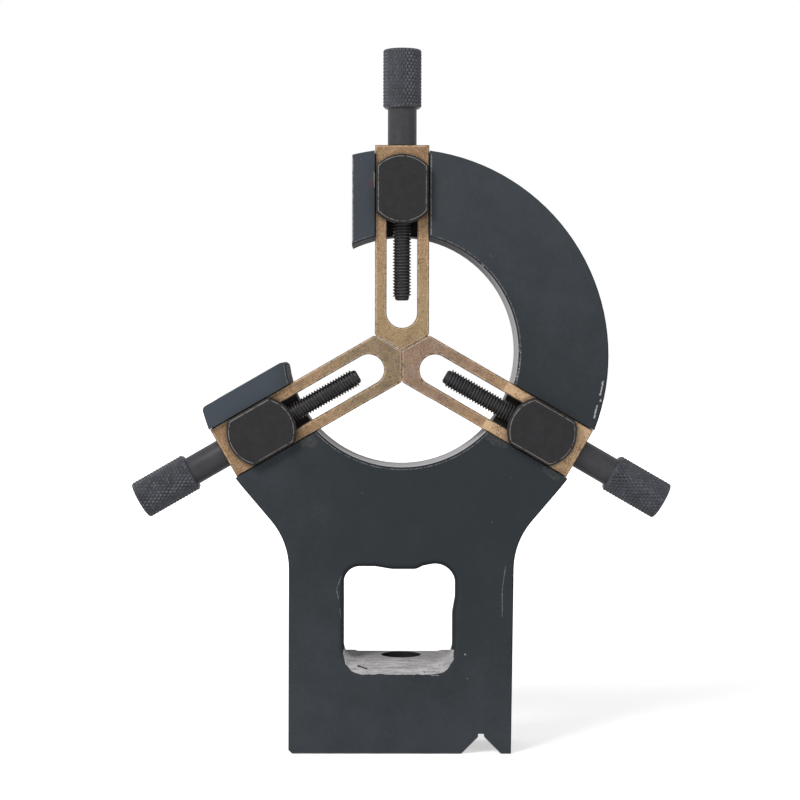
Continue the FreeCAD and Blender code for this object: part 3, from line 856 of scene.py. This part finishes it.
def bronze_look(name, angle, near_tip, outer, painted_light_colour):
    """Cast bronze with a filed, speckled grain: dull at the tip, golden outwards.

    near_tip and outer are (dark, light) pairs, and the last argument, where given, is the colour of a patch of
    painted light that the front face takes from 35 mm out.
    """
    look = Look(name, 0.5, metallic=0.15, specular=0.3)
    across, along = station_axes(look.x, look.z - WORK_HEIGHT, angle)
    grain = look.noise(0.42 * MM, 2.0, 0.75)
    filed = look.noise(0.5 * MM, 3.0, 0.7, look.stretched((0.35, 1.0, 1.0), angle))
    cloud = look.noise(5.0 * MM, 3.0, 0.6)
    tone = (grain * 0.42 + filed * 0.3 + cloud * 0.28).ramp(0.38, 0.62)
    colour = look.blend(
        (along + (cloud - 0.5) * (25 * MM)).ramp(14 * MM, 42 * MM),
        look.blend(tone, *near_tip),
        look.blend(tone, *outer),
    )
    hue = look.noise(1.3 * MM, 2.0, 0.6).ramp(0.42, 0.6)
    colour = look.blend(hue * 0.25, colour, (0.30, 0.20, 0.075))
    spots = look.noise(0.6 * MM, 2.0, 0.8).ramp(0.42, 0.32)
    colour = look.blend(spots * 0.6, colour, (0.085, 0.045, 0.025))
    # From 35 mm out the front face may take a brighter golden colour: painted light on the outer end.
    golden = along.ramp(34.5 * MM, 35.0 * MM) & look.y.ramp(0.0, -1.0 * MM)
    if painted_light_colour:
        colour = look.blend((golden & tone.ramp(0.05, 0.6)) * 0.75, colour, painted_light_colour)
    flecks = look.noise(0.4 * MM, 2.0, 0.8).ramp(0.6, 0.7)
    colour = look.blend(flecks * (along.ramp(5 * MM, 40 * MM) * 0.4 + 0.3), colour, (0.74, 0.55, 0.38))

    # Round where the clamp head sits the bronze is darker: painted shade of the head
    up = along - (CLAMP_HEIGHT - WORK_HEIGHT)
    from_head = (across * across + up * up).root() - HEAD_RADIUS
    head_shade = from_head.ramp(1.6 * MM, 0.1 * MM) & look.y.ramp(0.0, -1.0 * MM)
    colour = look.blend(head_shade * 0.5, colour, (0.06, 0.033, 0.02))

    # How near the front face's own outline: sides, outer end, pointed tip and slot
    from_side = abs(across) * -1.0 + FINGER_HIGH.x
    from_end = along * -1.0 + (FINGER_HIGH.z - WORK_HEIGHT)
    from_tip = along * math.sin(math.radians(60)) - abs(across) * math.cos(math.radians(60))
    slot = ((0.0, SLOT_START + SLOT_HALF), (0.0, SLOT_END - SLOT_HALF))
    from_slot = look.from_segment(across, along, *slot) - SLOT_HALF
    thin = look.noise(1.2 * MM, 3.0, 0.65) - 0.5
    inside = (from_side & from_end & from_tip & from_slot) + thin * (0.5 * MM)
    front = look.y.ramp(FINGER_LOW.y + 0.5 * MM, FINGER_LOW.y + 0.3 * MM)
    rubbed = inside.ramp(0.65 * MM, 0.45 * MM) & inside.ramp(0.1 * MM, 0.3 * MM) & front
    colour = look.blend((rubbed & (thin + 0.5).ramp(0.35, 0.65)) * 0.7, colour, (0.68, 0.50, 0.35))
    rim = inside.ramp(0.28 * MM, 0.12 * MM) & front
    colour = look.blend(rim * 0.75, colour, (0.075, 0.045, 0.03))
    look.set("Base Color", colour)
    look.set("Roughness", grain * 0.3 + 0.35)
    look.bump(grain, 0.05 * MM)
    look.bump(cloud, 0.05 * MM)
    return look.material


def oxide_look(name, colour, roughness, worn=0.5, mottled=0.3):
    """Black oxide on steel: a satin skin with fine grain, dull patches and worn edges."""
    look = Look(name, roughness, specular=0.18)
    grain = look.noise(0.3 * MM, 3.0, 0.6)
    patch = look.noise(2.4 * MM, 4.0, 0.65)
    darker = tuple(channel * (1.0 - mottled) for channel in colour)
    lighter = tuple(channel * (1.0 + mottled * 1.5) for channel in colour)
    skin = look.blend((grain * 0.3 + patch * 0.7).ramp(0.36, 0.68), darker, lighter)
    edge = abs(look.normal_y).ramp(0.90, 0.93) & abs(look.normal_y).ramp(0.995, 0.98)
    rubbed = edge & look.noise(1.5 * MM, 3.0, 0.6).ramp(0.34, 0.55)
    skin = look.blend(rubbed * worn, skin, (0.42, 0.38, 0.35))
    skin = look.blend(look.specks(2.2 * MM, 0.09 * MM, 0.25) * 0.35, skin, (0.2, 0.2, 0.2))
    look.set("Base Color", skin)
    look.set("Roughness", patch * 0.2 + (roughness - 0.1))
    look.bump(grain, 0.01 * MM)
    return look.material


def thread_look():
    """Black oxide on the adjusting screw's thread, rubbed grey along its crests."""
    look = Look("oxide_thread", 0.42, specular=0.25)

    def depth(across, along):
        off = look.y - SCREW_DEPTH
        return (across * across + off * off).root() * -1.0 + SCREW_THREAD_RADIUS

    crest = at_stations(look, depth).ramp(0.16 * MM, 0.05 * MM)
    crest = crest & look.noise(1.6 * MM, 3.0, 0.6).ramp(0.3, 0.6)
    grain = look.noise(0.3 * MM, 3.0, 0.6)
    skin = look.blend(grain.ramp(0.35, 0.65), (0.022, 0.021, 0.023), (0.038, 0.037, 0.041))
    look.set("Base Color", look.blend(crest * 0.7, skin, (0.105, 0.1, 0.105)))
    look.set("Roughness", grain * 0.2 + 0.32)
    return look.material


def knurl_look():
    """Black oxide on knurling, rubbed bright at the tips of some diamonds."""
    look = Look("knurled_oxide", 0.42, specular=0.25)
    tips = look.noise(1.1 * MM, 2.0, 0.7).ramp(0.55, 0.68)
    patch = look.noise(5.0 * MM, 2.0, 0.5)
    skin = look.blend(patch.ramp(0.35, 0.65), (0.040, 0.043, 0.051), (0.058, 0.062, 0.074))
    skin = look.blend(tips * 0.25, skin, (0.22, 0.23, 0.26))
    look.set("Base Color", skin)
    look.set("Roughness", patch * 0.2 + 0.32)
    return look.material


# ---------------------------------------------------------------------------
# Camera, light and floor
# ---------------------------------------------------------------------------

def add_camera():
    """The photograph's view: a long lens, level, a little to the left of the work axis."""
    camera = bpy.data.cameras.new("camera")
    camera.sensor_width = 36.0
    camera.lens = 91.85
    camera.clip_start = 0.05
    viewer = bpy.data.objects.new("camera", camera)
    camera.shift_y = -0.074
    viewer.location = (-4.5 * MM, -670.5 * MM, 133.2 * MM)
    viewer.rotation_euler = (math.radians(90), math.radians(-0.12), math.radians(-0.337))
    bpy.context.scene.collection.objects.link(viewer)
    bpy.context.scene.camera = viewer


def add_lamp(name, where, size, share):
    """A square soft lamp aimed at the work axis. It gives a surface that faces it that share of white."""
    lamp = bpy.data.lights.new(name, "AREA")
    lamp.size = size
    target = Vector((0, 0, 0.1))
    aim = target - Vector(where)
    lamp.energy = share * math.pi ** 2 * aim.length_squared
    holder = bpy.data.objects.new(name, lamp)
    holder.location = where
    holder.rotation_euler = aim.to_track_quat("-Z", "Y").to_euler()
    bpy.context.scene.collection.objects.link(holder)


def light_path_shows_background(tree):
    """1 for the rays that see the white background: the camera's, and mirrored or refracted ones."""
    path = tree.nodes.new("ShaderNodeLightPath")
    seen = Field(tree, path.outputs["Is Camera Ray"])
    seen = seen | Field(tree, path.outputs["Is Glossy Ray"])
    return seen | Field(tree, path.outputs["Is Transmission Ray"])


def add_world(strength):
    world = bpy.data.worlds.new("studio")
    bpy.context.scene.world = world
    world.use_nodes = True
    tree = world.node_tree
    background = tree.nodes["Background"]
    background.inputs["Color"].default_value = (1, 1, 1, 1)
    shows = light_path_shows_background(tree)
    level = shows * (1.0 - strength) + strength
    tree.links.new(level.socket, background.inputs["Strength"])


def add_floor():
    """A white floor that takes a soft shadow near the object and runs out to white."""
    floor_mesh = bmesh.new()
    lathe(floor_mesh, [(0, 0), (0.12, 0), (0.5, 0), (4.0, 0)], even_angles(64))
    data = finish_mesh(floor_mesh, "floor")
    look = Look("white_floor", 0.8, specular=0.1)
    look.shader.inputs["Base Color"].default_value = (0.8, 0.8, 0.8, 1)
    look.shader.inputs["Emission Color"].default_value = (1, 1, 1, 1)
    away = (look.x * look.x + look.y * look.y).root().ramp(0.1, 0.6)
    shows = light_path_shows_background(look.tree)
    look.set("Emission Strength", shows * (away * 0.5 + 0.55))
    data.materials.append(look.material)
    floor = bpy.data.objects.new("floor", data)
    bpy.context.scene.collection.objects.link(floor)


# ---------------------------------------------------------------------------
# Assembly
# ---------------------------------------------------------------------------

def dress(node, material):
    """Gives a CAD node's own mesh a material."""
    data = frame["nodes"][node].data
    for number in range(len(data.materials)):
        data.materials[number] = material


def main():
    head_steel = oxide_look("oxide_head", (0.0165, 0.016, 0.0175), 0.5, worn=0.5, mottled=0.15)
    shank_steel = oxide_look("oxide_shank", (0.042, 0.042, 0.047), 0.45, worn=0.0, mottled=0.12)
    hardware = oxide_look("oxide_hardware", (0.034, 0.034, 0.038), 0.42, worn=0.5)
    spring = oxide_look("spring_steel", (0.05, 0.05, 0.055), 0.4, worn=0.3)
    knurl = knurl_look()
    thread_steel = thread_look()
    golden = ((0.175, 0.095, 0.045), (0.42, 0.265, 0.15))
    bronzes = {
        "top": (((0.20, 0.135, 0.070), (0.37, 0.265, 0.15)), golden, None),
        # The right finger's third colour is painted light on its outer end.
        "right": (((0.15, 0.095, 0.068), (0.295, 0.20, 0.15)), golden, (0.66, 0.45, 0.26)),
        "left": (((0.115, 0.085, 0.056), (0.28, 0.20, 0.13)), golden, None),
    }

    dress("body_casting", casting_look())
    screw, bolt, nut = build_screw(), build_bolt(), build_nut()
    for station, angle in STATIONS.items():
        dress(station + "_finger", bronze_look(station + "_bronze", angle, *bronzes[station]))
        dress(station + "_retaining_ring", spring)
        dress(station + "_clamp_washer", hardware)
        place(screw, station + "_screw_detail", angle, [knurl, shank_steel, thread_steel],
              station + "_screw", station + "_adjusting_screw")
        place(bolt, station + "_bolt_detail", angle, [head_steel],
              "frame", station + "_clamp_bolt")
        place(nut, station + "_nut_detail", angle, [hardware],
              station + "_nut", station + "_clamp_nut")

    bpy.context.scene.view_settings.view_transform = "Standard"
    add_camera()
    add_world(0.45)
    add_lamp("key", (-0.75, -0.95, 0.95), 0.5, 0.7)
    add_lamp("fill", (0.9, -1.0, 0.35), 0.9, 0.12)
    add_floor()


main()
